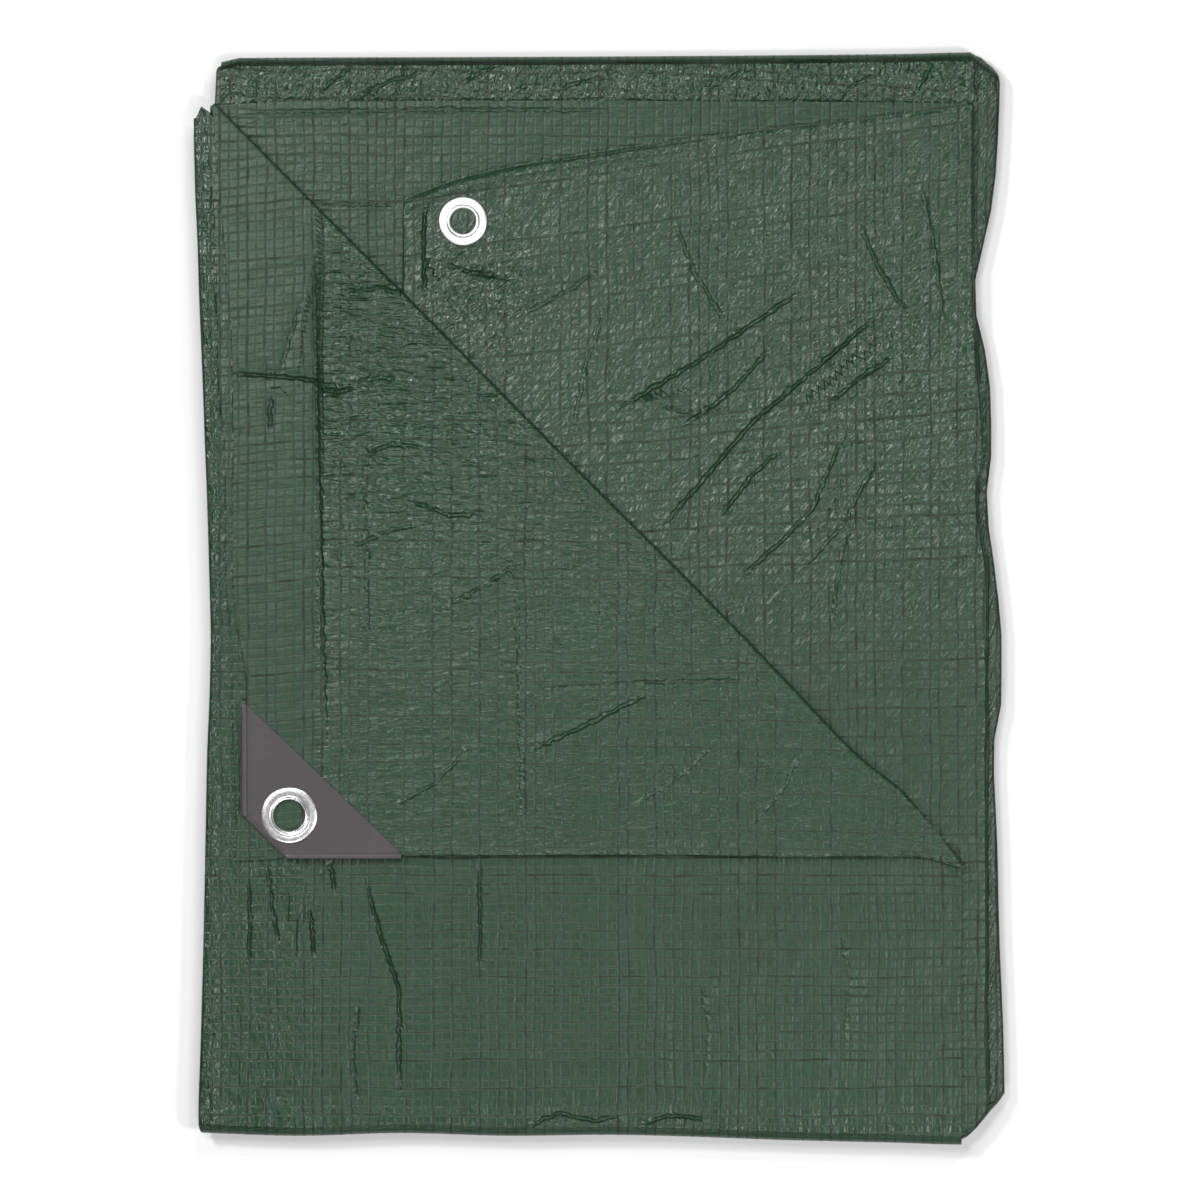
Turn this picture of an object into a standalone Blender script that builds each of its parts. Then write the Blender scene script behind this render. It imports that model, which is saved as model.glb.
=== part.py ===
# Folded woven polyethylene tarpaulin, lying flat.
# One sheet makes the whole stack. It is pleated into a strip three layers wide,
# the strip is folded twice along its length, and the front layer's far corner is
# turned over, with its edge rolled back under itself.
# Frame: the origin is on the surface under the middle of the stack, +X runs to the
# right, +Y towards the hemmed end, and +Z up. Tables and sizes are in millimetres.
import math
from collections import namedtuple

import bmesh
import bpy
from mathutils import Vector

MM = 0.001
SHEET = 1.0              # thickness of every cloth layer
AIR = 0.35               # space between two layers
PITCH = SHEET + AIR      # from the middle of one layer to the next
GAP = 0.3                # space between separate pieces
PLIES = 3                # layers across the pleated strip
RUNS = 3                 # lengths of the strip, one on another
PLEAT_RADIUS = PITCH / 2
ARC_STEPS = 4            # facets round any half turn

FRONT_Z = (PLIES * RUNS - 1) * PITCH + SHEET / 2    # middle of the front layer
LINING_Z = FRONT_Z + PITCH                          # rolled-under layer of the corner
FLAP_Z = FRONT_Z + 2 * PITCH                        # turned corner
SECOND_Z = FRONT_Z - PITCH                          # layer under the front one

FREE_SIDE_X = 144.9      # the front layer's own hemmed side
FRONT_TAIL = 5.5         # the third layer's loose edge, in from the left pleat
BACK_TAIL = 1.0
LOW_RUN_INSET = 0.8      # the lowest run is a little narrower
LOW_RUN_SHORT = 7.0      # and ends short of the bottom fold

# Outline of the stack, a row for each height along it: where the pleats turn, left
# and right, on the front run and on the runs behind it.
Station = namedtuple("Station", "y front_left front_right back_left back_right")
STATIONS = [
    Station(208, -161.5, 150.0, -153.6, 160.3),
    Station(190, -162.3, 149.6, -154.6, 159.7),
    Station(164, -161.8, 149.5, -158.0, 158.1),
    Station(142, -160.8, 149.5, -158.5, 153.7),
    Station(122, -160.2, 149.6, -158.6, 149.9),
    Station(88, -158.8, 151.8, -157.6, 156.1),
    Station(60, -157.8, 153.6, -156.8, 156.9),
    Station(40, -157.0, 151.0, -156.2, 154.9),
    Station(6, -156.0, 155.2, -155.2, 158.9),
    Station(-17, -155.5, 155.2, -154.8, 160.9),
    Station(-40, -156.0, 155.0, -155.2, 160.9),
    Station(-61, -156.9, 155.0, -156.0, 157.7),
    Station(-102, -157.7, 155.0, -156.8, 159.3),
    Station(-132, -158.3, 155.0, -157.2, 159.9),
    Station(-177, -159.5, 155.2, -158.4, 161.7),
    Station(-203, -160.4, 156.0, -159.0, 162.2),
]

# A line across the stack, as points from left to right.
Spot = namedtuple("Spot", "x y")
BOTTOM_FOLD = [
    Spot(-160.5, -214.0), Spot(-120.0, -215.3), Spot(-80.0, -214.2), Spot(-34.0, -215.3),
    Spot(0.0, -214.9), Spot(82.0, -217.2), Spot(116.0, -218.0), Spot(145.0, -218.8),
    Spot(149.0, -216.5), Spot(153.5, -209.7), Spot(156.2, -206.0), Spot(162.3, -201.7),
]
TOP_FOLD = [
    Spot(-153.6, 213.9), Spot(-146.7, 216.4), Spot(0.0, 217.0), Spot(120.0, 218.0),
    Spot(151.0, 218.7), Spot(160.0, 209.6),
]

# The turned corner's fold, from the stack's top left to the front layer's free side.
CORNER_FOLD = [
    Spot(-155.1, 196.8), Spot(-115.1, 156.4), Spot(-74.7, 116.0), Spot(-13.1, 53.6),
    Spot(40.1, 0.4), Spot(77.3, -38.0), Spot(103.3, -64.8), Spot(120.1, -78.4),
    Spot(132.1, -92.8), Spot(FREE_SIDE_X, -107.8),
]
FRONT_LEFT_TOP = 192.0   # top of the front layer at its left pleat
UNDER_FOLD = 4.0         # how far the second layer stays inside the turned corner

# The second layer's hem: its loose top edge, right of where the corner covers it.
HEM = [
    Spot(-78.3, 160.0), Spot(-55.5, 168.4), Spot(-13.1, 177.0), Spot(48.1, 185.6),
    Spot(103.3, 191.8), Spot(148.9, 197.2),
]
HEM_STEP = 0.9           # the hem's left end drops straight down, over this width
THIRD_TOP = [
    Spot(-156.8, 197.0), Spot(-115.1, 199.0), Spot(-13.1, 199.2), Spot(40.1, 199.0),
    Spot(103.3, 198.6), Spot(150.5, 198.2),
]

# Loose edges of the turned corner and of its lining: x for each y.
Edge = namedtuple("Edge", "y x")
FLAP_EDGE = [
    Edge(196.8, -155.1), Edge(170.8, -152.3), Edge(136.4, -149.5), Edge(105.6, -147.1),
    Edge(57.6, -146.3), Edge(15.2, -146.7), Edge(-5.2, -145.5), Edge(-36.8, -141.0),
    Edge(-86.0, -141.5), Edge(-103.6, -123.4),
]
LINING_EDGE = [
    Edge(195.2, -157.4), Edge(174.8, -156.2), Edge(151.6, -153.9), Edge(113.2, -152.8),
    Edge(85.2, -152.3), Edge(58.4, -149.7), Edge(2.4, -149.1), Edge(-14.4, -147.1),
    Edge(-62.0, -146.3), Edge(-91.2, -145.1), Edge(-105.4, -145.5),
]
FLAP_FOOT = [
    Spot(-123.4, -103.8), Spot(-80.0, -102.5), Spot(-35.0, -102.4), Spot(26.0, -102.2),
    Spot(85.0, -103.1), Spot(126.0, -103.0), Spot(FREE_SIDE_X, -107.8),
]
FLAP_ROWS = 5            # facets from the fold to the flap's loose edge
LINING_ROWS = 8
LINING_INSET = 6.0       # the lining stays this far inside the corner's fold
CORNER_OUT = Vector((0.712, 0.702, 0.0))            # square to the corner's fold

HEM_STRIP_WIDTH = 37.0
HEM_STRIP_INSET = 0.6
PATCH_OUTLINE = [
    Spot(-143.5, -42.4), Spot(-143.5, -86.0), Spot(-124.3, -104.8),
    Spot(-79.1, -102.4), Spot(-141.5, -42.4),
]
PATCH_THICKNESS = 1.0
PATCH_ROUNDING = 0.3

# Eyelets: a rolled barrel through the cloth and a flat flange on it.
Eyelet = namedtuple("Eyelet", "x y hole flange barrel_wall flange_thickness bead")
CORNER_EYELET = Eyelet(-124.1, -86.9, 6.1, 11.5, 0.6, 0.7, 0.5)
EDGE_EYELET = Eyelet(-54.7, 150.8, 5.05, 9.8, 0.6, 0.7, 0.6)
EYELET_STEPS = 28
BARREL_CLEARANCE = 0.4

# Air trapped in the stack lifts it in a few soft places: centre, reach and share.
Swell = namedtuple("Swell", "x y reach_x reach_y share")
SWELLS = [
    Swell(40.0, 90.0, 90.0, 60.0, 0.07),
    Swell(90.0, 40.0, 55.0, 50.0, 0.05),
    Swell(-20.0, -30.0, 80.0, 60.0, 0.06),
    Swell(60.0, -160.0, 90.0, 40.0, 0.05),
    Swell(-90.0, -165.0, 50.0, 35.0, 0.04),
]

COLOURS = {
    "woven_green": ((0.030, 0.085, 0.045, 1.0), 0.42, 0.0),
    "patch_grey": ((0.070, 0.055, 0.062, 1.0), 0.38, 0.0),
    "aluminium": ((0.80, 0.80, 0.81, 1.0), 0.28, 1.0),
}


def clear_scene():
    for old in list(bpy.data.objects):
        bpy.data.objects.remove(old, do_unlink=True)


def make_collection(name):
    collection = bpy.data.collections.new(name)
    bpy.context.scene.collection.children.link(collection)
    return collection


def make_material(name):
    colour, roughness, metallic = COLOURS[name]
    material = bpy.data.materials.new(name)
    material.use_nodes = True
    shader = material.node_tree.nodes["Principled BSDF"]
    shader.inputs["Base Color"].default_value = colour
    shader.inputs["Roughness"].default_value = roughness
    shader.inputs["Metallic"].default_value = metallic
    return material


def mix(a, b, share):
    return a + (b - a) * share


def read(table, key, value, column):
    """Straight-line reading of one column of a table at a value of another."""
    rows = sorted(table, key=lambda row: getattr(row, key))
    if value <= getattr(rows[0], key):
        return getattr(rows[0], column)
    for low, high in zip(rows, rows[1:]):
        start, end = getattr(low, key), getattr(high, key)
        if value <= end:
            return mix(getattr(low, column), getattr(high, column), (value - start) / (end - start))
    return getattr(rows[-1], column)


def swelling(x, y):
    """How much taller the stack stands at a place, as a share of its height."""
    share = 0.0
    for swell in SWELLS:
        away = math.hypot((x - swell.x) / swell.reach_x, (y - swell.y) / swell.reach_y)
        if away < 1.0:
            share += swell.share * (0.5 + 0.5 * math.cos(math.pi * away))
    return 1.0 + share


def place(x, y, z):
    """A point of the swollen stack, in metres."""
    return Vector((x, y, z * swelling(x, y))) * MM


class Column:
    """One line of the cloth that runs the whole length of the strip."""

    def __init__(self, layer, hold, x=0.0, top=0.0):
        self.layer = layer      # 0 at the front ply, 1 and 2 behind it; between them in a pleat
        self.hold = hold        # what it keeps to: a fixed x, a pleat or a loose edge
        self.x = x
        self.top = top          # where it starts on the front run

    def at(self, y, run):
        """Its x at a height on one run of the strip."""
        side = "front" if run == 0 else "back"
        inset = LOW_RUN_INSET if run == 2 else 0.0
        left = read(STATIONS, "y", y, side + "_left") + inset + PLEAT_RADIUS
        right = read(STATIONS, "y", y, side + "_right") - inset - PLEAT_RADIUS
        if self.hold == "left pleat":
            return left - self.x
        if self.hold == "right pleat":
            return right + self.x
        if self.hold == "tail":
            return left + (FRONT_TAIL if run == 0 else BACK_TAIL)
        return min(max(self.x, left + 1.0), right - 1.0)


def pleat_columns(first_layer, hold, top):
    """The columns round a pleat, from one layer to the next."""
    columns = []
    for step in range(ARC_STEPS + 1):
        angle = math.pi * step / ARC_STEPS
        layer = first_layer + 0.5 - 0.5 * math.cos(angle)
        columns.append(Column(layer, hold, PLEAT_RADIUS * math.sin(angle), top))
    return columns


def strip_columns():
    """The strip's columns in their order across the sheet, from one loose edge to the other."""
    columns = [Column(0, "fixed", spot.x, spot.y) for spot in reversed(CORNER_FOLD)]
    columns += pleat_columns(0, "left pleat", FRONT_LEFT_TOP)
    for x in (CORNER_FOLD[1].x, HEM[0].x - HEM_STEP):
        columns.append(Column(1, "fixed", x, read(CORNER_FOLD, "x", x, "y") - UNDER_FOLD))
    columns += [Column(1, "fixed", spot.x, spot.y) for spot in HEM[:-1]]
    columns += pleat_columns(1, "right pleat", HEM[-1].y)
    columns += [Column(2, "fixed", spot.x, spot.y) for spot in reversed(THIRD_TOP[1:])]
    columns.append(Column(2, "tail", top=THIRD_TOP[0].y))
    return columns


def strip_line(column):
    """All the points of one column, round both folds of the strip."""
    layer = column.layer
    low_radius = (2 * PLIES - 1 - 2 * layer) * PITCH / 2
    high_radius = (0.5 + layer) * PITCH
    run_z = [
        FRONT_Z - layer * PITCH,
        FRONT_Z - (2 * PLIES - 1 - layer) * PITCH,
        FRONT_Z - (2 * PLIES + layer) * PITCH,
    ]
    lowest = STATIONS[-1].y
    highest = STATIONS[0].y
    low_turn = []
    high_turn = []
    for run in range(RUNS):
        bottom = read(BOTTOM_FOLD, "x", column.at(lowest, run), "y")
        low_turn.append(bottom + (2 * PLIES - 1) * PITCH / 2)
        top = read(TOP_FOLD, "x", column.at(highest, run), "y")
        high_turn.append(top - (PLIES - 0.5) * PITCH)
    low_turn[2] += LOW_RUN_SHORT
    high_turn[0] = column.top

    points = []
    for run in range(RUNS):
        heights = [high_turn[run]]
        heights += [min(max(row.y, low_turn[run]), high_turn[run]) for row in STATIONS]
        heights.append(low_turn[run])
        if run == 1:
            heights.reverse()
        points += [place(column.at(y, run), y, run_z[run]) for y in heights]
        if run == 2:
            break
        radius = low_radius if run == 0 else high_radius
        turn = low_turn if run == 0 else high_turn
        side = -1.0 if run == 0 else 1.0
        middle_z = (run_z[run] + run_z[run + 1]) / 2
        for step in range(1, ARC_STEPS):
            angle = math.pi * step / ARC_STEPS
            share = step / ARC_STEPS
            x = mix(column.at(turn[run], run), column.at(turn[run + 1], run + 1), share)
            y = mix(turn[run], turn[run + 1], share) + side * radius * math.sin(angle)
            points.append(place(x, y, middle_z + radius * math.cos(angle)))
    return points


def flap_lines():
    """The turned corner, a line for each point of its fold, from the front layer over to its edge."""
    lines = []
    for spot in CORNER_FOLD:
        fold = Vector((spot.x, spot.y, 0.0))
        line = []
        for step in range(ARC_STEPS + 1):
            angle = math.pi * step / ARC_STEPS
            bulge = fold + CORNER_OUT * (PITCH * math.sin(angle))
            line.append(place(bulge.x, bulge.y, FRONT_Z + PITCH * (1.0 - math.cos(angle))))
        last = spot is CORNER_FOLD[-1]
        edge_x = FLAP_FOOT[0].x if last else read(FLAP_EDGE, "y", spot.y, "x")
        for step in range(1, FLAP_ROWS + 2):
            if last:
                foot = FLAP_FOOT[-1 - step]
                line.append(place(foot.x, foot.y, FLAP_Z))
            else:
                x = mix(spot.x, edge_x, step / (FLAP_ROWS + 1))
                line.append(place(x, spot.y, FLAP_Z))
        lines.append(line)
    return lines


def roll_lines():
    """The flap's foot rolled under to the lining, a line for each joined point."""
    lines = []
    for foot in FLAP_FOOT[:-1]:
        line = []
        for step in range(ARC_STEPS + 1):
            angle = math.pi * step / ARC_STEPS
            y = foot.y - PLEAT_RADIUS * math.sin(angle)
            line.append(place(foot.x, y, LINING_Z + PLEAT_RADIUS * (1.0 + math.cos(angle))))
        lines.append(line)
    return lines


def lining_lines():
    """The layer between the turned corner and the front, a line for each of its columns."""
    lines = []
    foot_y = LINING_EDGE[-1].y
    top_y = LINING_EDGE[0].y
    edge = []
    for step in range(LINING_ROWS + 1):
        y = mix(foot_y, top_y, step / LINING_ROWS)
        edge.append(place(read(LINING_EDGE, "y", y, "x"), y, LINING_Z))
    lines.append(edge)
    for foot in FLAP_FOOT[:-1]:
        top = read(CORNER_FOLD, "x", foot.x, "y") - LINING_INSET
        heights = [mix(foot.y, top, step / LINING_ROWS) for step in range(LINING_ROWS + 1)]
        lines.append([place(foot.x, y, LINING_Z) for y in heights])
    return lines


def add_grid(mesh, lines):
    """A flat grid with its points taken to their folded places."""
    across = len(lines[0])
    made = bmesh.ops.create_grid(mesh, x_segments=across - 1, y_segments=len(lines) - 1, size=1.0)
    for vertex, point in zip(made["verts"], [point for line in lines for point in line]):
        vertex.co = point


def sheet_object(name, grids, material, collection):
    """One open sheet from its grids, joined where their points meet, then given its thickness."""
    mesh = bmesh.new()
    for lines in grids:
        add_grid(mesh, lines)
    bmesh.ops.remove_doubles(mesh, verts=mesh.verts, dist=0.02 * MM)
    bmesh.ops.dissolve_degenerate(mesh, edges=mesh.edges, dist=0.01 * MM)
    bmesh.ops.recalc_face_normals(mesh, faces=mesh.faces)
    data = bpy.data.meshes.new(name)
    mesh.to_mesh(data)
    mesh.free()
    data.materials.append(material)
    piece = bpy.data.objects.new(name, data)
    collection.objects.link(piece)
    body = piece.modifiers.new("thickness", "SOLIDIFY")
    body.thickness = SHEET * MM
    body.offset = 0.0
    return piece


def round_cutter(name, eyelet, low, high, collection):
    """A round punch for an eyelet's hole in one layer."""
    punch = bmesh.new()
    radius = (eyelet.hole + eyelet.barrel_wall + BARREL_CLEARANCE) * MM
    bmesh.ops.create_cone(
        punch, cap_ends=True, segments=EYELET_STEPS, radius1=radius, radius2=radius, depth=(high - low) * MM
    )
    data = bpy.data.meshes.new(name)
    punch.to_mesh(data)
    punch.free()
    cutter = bpy.data.objects.new(name, data)
    cutter.location = (eyelet.x * MM, eyelet.y * MM, (low + high) / 2 * MM)
    cutter.hide_render = True
    cutter.display_type = "WIRE"
    collection.objects.link(cutter)
    return cutter


def cut(piece, cutter):
    hole = piece.modifiers.new(cutter.name, "BOOLEAN")
    hole.operation = "DIFFERENCE"
    hole.solver = "EXACT"
    hole.object = cutter


def hem_strip_lines():
    """The doubled hem along the second layer's loose edge."""
    lines = []
    middle_z = SECOND_Z + SHEET + GAP
    for spot in HEM:
        x = spot.x
        if spot is HEM[0]:
            x += HEM_STRIP_INSET
        if spot is HEM[-1]:
            x -= HEM_STRIP_INSET
        top = spot.y - HEM_STRIP_INSET
        lines.append([place(x, top - HEM_STRIP_WIDTH * share, middle_z) for share in (0.0, 0.5, 1.0)])
    return lines


def make_patch(material, collection, punch):
    """The corner's plastic patch: a flat outline with slightly rounded edges."""
    middle_z = FLAP_Z + SHEET / 2 + GAP + PATCH_THICKNESS / 2
    outline = bmesh.new()
    corners = [outline.verts.new(Vector((spot.x, spot.y, middle_z - PATCH_THICKNESS / 2)) * MM)
               for spot in PATCH_OUTLINE]
    face = outline.faces.new(corners)
    raised = bmesh.ops.extrude_face_region(outline, geom=[face])
    top = [part for part in raised["geom"] if isinstance(part, bmesh.types.BMVert)]
    bmesh.ops.translate(outline, verts=top, vec=(0.0, 0.0, PATCH_THICKNESS * MM))
    bmesh.ops.recalc_face_normals(outline, faces=outline.faces)
    data = bpy.data.meshes.new("corner_patch")
    outline.to_mesh(data)
    outline.free()
    data.materials.append(material)
    patch = bpy.data.objects.new("corner_patch", data)
    collection.objects.link(patch)
    cut(patch, punch)
    rounding = patch.modifiers.new("rounded edges", "BEVEL")
    rounding.width = PATCH_ROUNDING * MM
    rounding.segments = 1
    rounding.limit_method = "ANGLE"
    return patch


def make_eyelet(name, eyelet, seat_z, foot_z, material, collection):
    """A turned eyelet: its flange lies over the seat and its barrel reaches down to the foot."""
    flange_low = seat_z + GAP
    flange_high = flange_low + eyelet.flange_thickness
    bead_high = flange_high + eyelet.bead
    barrel = eyelet.hole + eyelet.barrel_wall
    bead_mid = eyelet.hole + 0.9
    bead_foot = eyelet.hole + 1.9
    # Outer side first, from the bead down and round to the barrel's bore.
    profile = [
        (bead_mid, bead_high),
        (bead_foot, flange_high),
        (eyelet.flange - 0.4, flange_high),
        (eyelet.flange, flange_low + 0.25),
        (eyelet.flange - 0.15, flange_low),
        (barrel, flange_low),
        (barrel, foot_z),
        (eyelet.hole, foot_z),
        (eyelet.hole, bead_high - 0.35),
        (eyelet.hole + 0.3, bead_high),
    ]
    section = bmesh.new()
    points = [section.verts.new(Vector((radius, 0.0, z)) * MM) for radius, z in profile]
    for start, end in zip(points, points[1:] + points[:1]):
        section.edges.new((start, end))
    data = bpy.data.meshes.new(name)
    section.to_mesh(data)
    section.free()
    data.materials.append(material)
    ring = bpy.data.objects.new(name, data)
    ring.location = (eyelet.x * MM, eyelet.y * MM, 0.0)
    collection.objects.link(ring)
    turned = ring.modifiers.new("turned", "SCREW")
    turned.axis = "Z"
    turned.angle = math.tau
    turned.steps = EYELET_STEPS
    turned.render_steps = EYELET_STEPS
    turned.use_merge_vertices = True
    turned.merge_threshold = 0.00001
    return ring


def build():
    clear_scene()
    parts = make_collection("folded_tarp")
    cutters = make_collection("cutters")
    green = make_material("woven_green")
    grey = make_material("patch_grey")
    metal = make_material("aluminium")

    strip = [strip_line(column) for column in strip_columns()]
    cloth = sheet_object("tarp_cloth", [strip, flap_lines(), roll_lines(), lining_lines()], green, parts)
    hem_strip = sheet_object("hem_strip", [hem_strip_lines()], green, parts)

    corner_low = (LINING_Z + FLAP_Z) / 2
    corner_punch = round_cutter("corner_punch", CORNER_EYELET, corner_low, FLAP_Z + 5.0, cutters)
    edge_low = SECOND_Z - PITCH / 2
    edge_punch = round_cutter("edge_punch", EDGE_EYELET, edge_low, SECOND_Z + 5.0, cutters)
    cut(cloth, corner_punch)
    cut(cloth, edge_punch)
    cut(hem_strip, edge_punch)

    make_patch(grey, parts, corner_punch)
    patch_top = FLAP_Z + SHEET / 2 + GAP + PATCH_THICKNESS
    strip_top = SECOND_Z + SHEET / 2 + GAP + SHEET
    make_eyelet("corner_eyelet", CORNER_EYELET, patch_top, FLAP_Z - SHEET / 2, metal, parts)
    make_eyelet("edge_eyelet", EDGE_EYELET, strip_top, SECOND_Z - SHEET / 2, metal, parts)


build()
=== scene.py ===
import math
from collections import namedtuple

import bmesh
import bpy
import numpy as np
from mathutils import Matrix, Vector, noise


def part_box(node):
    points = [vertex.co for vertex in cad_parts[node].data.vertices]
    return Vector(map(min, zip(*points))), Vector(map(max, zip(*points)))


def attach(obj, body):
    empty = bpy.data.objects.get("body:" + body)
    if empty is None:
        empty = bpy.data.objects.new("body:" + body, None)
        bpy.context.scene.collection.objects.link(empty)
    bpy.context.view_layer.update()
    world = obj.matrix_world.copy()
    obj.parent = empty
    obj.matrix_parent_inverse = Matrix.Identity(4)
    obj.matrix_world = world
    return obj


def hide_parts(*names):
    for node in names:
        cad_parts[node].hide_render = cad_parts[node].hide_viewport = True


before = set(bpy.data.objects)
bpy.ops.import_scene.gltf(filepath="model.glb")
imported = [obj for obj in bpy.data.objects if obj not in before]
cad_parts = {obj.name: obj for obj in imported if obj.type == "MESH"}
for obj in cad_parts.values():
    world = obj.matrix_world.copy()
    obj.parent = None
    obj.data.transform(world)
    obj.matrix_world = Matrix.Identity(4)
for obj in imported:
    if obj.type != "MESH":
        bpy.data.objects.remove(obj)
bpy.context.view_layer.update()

bpy.ops.object.select_all(action="DESELECT")
mm = 0.001


# small tools

def smoothReader(rows):
    # a smooth curve through a table's rows, without overshoot, that can be read anywhere
    rows = sorted(rows)
    keys = np.array([row[0] for row in rows], float)
    values = np.array([row[1] for row in rows], float)
    slopes = np.diff(values) / np.diff(keys)
    product = slopes[:-1] * slopes[1:]
    total = np.where(product > 0, slopes[:-1] + slopes[1:], 1.0)
    inner = np.where(product > 0, 2 * product / total, 0.0)
    tangents = np.concatenate(([slopes[0]], inner, [slopes[-1]]))

    def reader(at):
        at = np.clip(at, keys[0], keys[-1])
        low = np.clip(np.searchsorted(keys, at, side="right") - 1, 0, len(keys) - 2)
        span = keys[low + 1] - keys[low]
        t = (at - keys[low]) / span
        curve = values[low] * (1 + 2 * t) * (1 - t) ** 2 + values[low + 1] * t * t * (3 - 2 * t)
        return curve + span * (tangents[low] * t * (1 - t) ** 2 - tangents[low + 1] * t * t * (1 - t))

    return reader


def ease(value, start, end):
    # 0 at start, 1 at end, soft at both
    t = np.clip((value - start) / (end - start), 0.0, 1.0)
    return t * t * (3 - 2 * t)


def ripple(x, y, length, seed):
    # soft random ups and downs, about -1 to 1
    flat = np.stack([np.ravel(x), np.ravel(y)], axis=1) / length
    found = [noise.noise(Vector((a, b, seed))) for a, b in flat]
    return np.array(found).reshape(np.shape(x)) * 1.6


# the folded stack

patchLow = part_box("corner_patch")[0].z / mm
solidSheet = 1.0         # the solid's own thickness and the space it keeps to other pieces
solidGap = 0.3

cloth = {
    "sheet": 0.5,        # film and tapes, drawn heavier than the real 0.2
    "pitch": 1.35,       # from one layer to the next
    "plies": 3,          # layers across the pleated strip
    "arcSteps": 6,
    "frontRows": 104,    # points down the front run
    "backRows": 44,
    "lowRows": 14,
    "frontStep": 3.0,    # between columns of the front ply
    "secondStep": 2.2,
    "thirdStep": 8.0,
    "freeSide": 144.9,   # the front ply's loose side
    "frontTop": 192.0,   # top of the front ply at its pleat
    "panelTop": -98.0,   # the front ply shows below this height
    "frontTail": 5.5,    # third ply's loose edge, in from the left pleat
    "backTail": 1.0,
    "lowInset": 0.8,     # the lowest run is narrower and shorter
    "lowShort": 7.0,
    "underFold": 4.0,    # the second ply stays this far inside the turned corner
}
pitch = cloth["pitch"]
turn = pitch / 2
flapZ = patchLow - solidGap - solidSheet / 2
frontZ = flapZ - 2 * pitch
liningZ = flapZ - pitch
secondZ = frontZ - pitch

# where the pleats turn, left and right, on the front run and behind it
Station = namedtuple("Station", "y frontLeft frontRight backLeft backRight")
stations = [
    Station(208, -161.5, 150.0, -153.6, 160.3),
    Station(190, -162.3, 149.6, -154.6, 159.7),
    Station(164, -161.8, 149.5, -158.0, 158.1),
    Station(142, -160.8, 149.5, -158.5, 153.7),
    Station(122, -160.2, 149.6, -158.6, 149.9),
    Station(88, -158.8, 151.8, -157.6, 156.1),
    Station(60, -157.8, 153.6, -156.8, 156.9),
    Station(40, -157.0, 151.0, -156.2, 154.9),
    Station(6, -156.0, 155.2, -155.2, 158.9),
    Station(-17, -155.5, 155.2, -154.8, 160.9),
    Station(-40, -156.0, 155.0, -155.2, 160.9),
    Station(-61, -156.9, 155.0, -156.0, 157.7),
    Station(-102, -157.7, 155.0, -156.8, 159.3),
    Station(-132, -158.3, 155.0, -157.2, 159.9),
    Station(-177, -159.5, 155.2, -158.4, 161.7),
    Station(-203, -160.4, 156.0, -159.0, 162.2),
]
outline = {
    name: smoothReader([(row.y, getattr(row, name)) for row in stations])
    for name in Station._fields[1:]
}

# folds and loose edges across the stack, as x and y
bottomFold = smoothReader([
    (-160.5, -214.0), (-120.0, -215.3), (-80.0, -214.2), (-34.0, -215.3), (0.0, -214.9), (82.0, -217.2),
    (116.0, -218.0), (145.0, -218.8), (149.0, -216.5), (153.5, -209.7), (156.2, -206.0), (162.3, -201.7),
])
topFold = smoothReader([
    (-153.6, 213.9), (-146.7, 216.4), (0.0, 217.0), (120.0, 218.0), (151.0, 218.7), (160.0, 209.6),
])
cornerSpots = [
    (-155.1, 196.8), (-115.1, 156.4), (-74.7, 116.0), (-13.1, 53.6), (40.1, 0.4), (77.3, -38.0),
    (103.3, -64.8), (120.1, -78.4), (132.1, -92.8), (144.9, -107.8),
]
cornerFold = smoothReader(cornerSpots)
hemSpots = [(-78.3, 160.0), (-55.5, 168.4), (-13.1, 177.0), (48.1, 185.6), (103.3, 191.8), (148.9, 197.2)]
hem = smoothReader(hemSpots)
thirdTop = smoothReader([
    (-156.8, 197.0), (-115.1, 199.0), (-13.1, 199.2), (40.1, 199.0), (103.3, 198.6), (150.5, 198.2),
])

# loose edges of the turned corner and its lining, as y and x
cornerEdge = smoothReader([
    (196.8, -155.1), (170.8, -152.3), (136.4, -149.5), (105.6, -147.1), (57.6, -146.3), (15.2, -146.7),
    (-5.2, -145.5), (-36.8, -141.0), (-86.0, -141.5), (-103.6, -123.4),
])
liningEdge = smoothReader([
    (195.2, -157.4), (174.8, -156.2), (151.6, -153.9), (113.2, -152.8), (85.2, -152.3), (58.4, -149.7),
    (2.4, -149.1), (-14.4, -147.1), (-62.0, -146.3), (-91.2, -145.1), (-105.4, -145.5),
])
cornerFoot = smoothReader([
    (-123.4, -103.8), (-80.0, -102.5), (-35.0, -102.4), (26.0, -102.2), (85.0, -103.1), (126.0, -103.0),
    (144.9, -107.8),
])

# air in the stack lifts it softly: centre, reach and share of its height
Swell = namedtuple("Swell", "x y reachX reachY share")
swells = [
    Swell(40.0, 90.0, 90.0, 60.0, 0.07),
    Swell(90.0, 40.0, 55.0, 50.0, 0.05),
    Swell(-20.0, -30.0, 80.0, 60.0, 0.06),
    Swell(60.0, -160.0, 90.0, 40.0, 0.05),
    Swell(-90.0, -165.0, 50.0, 35.0, 0.04),
]


def swelling(x, y):
    share = 1.0
    for swell in swells:
        away = np.hypot((x - swell.x) / swell.reachX, (y - swell.y) / swell.reachY)
        share = share + swell.share * np.where(away < 1, 0.5 + 0.5 * np.cos(math.pi * np.minimum(away, 1)), 0)
    return share


# creases: their line, how far they rise (or sink) and how wide they are

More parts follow.
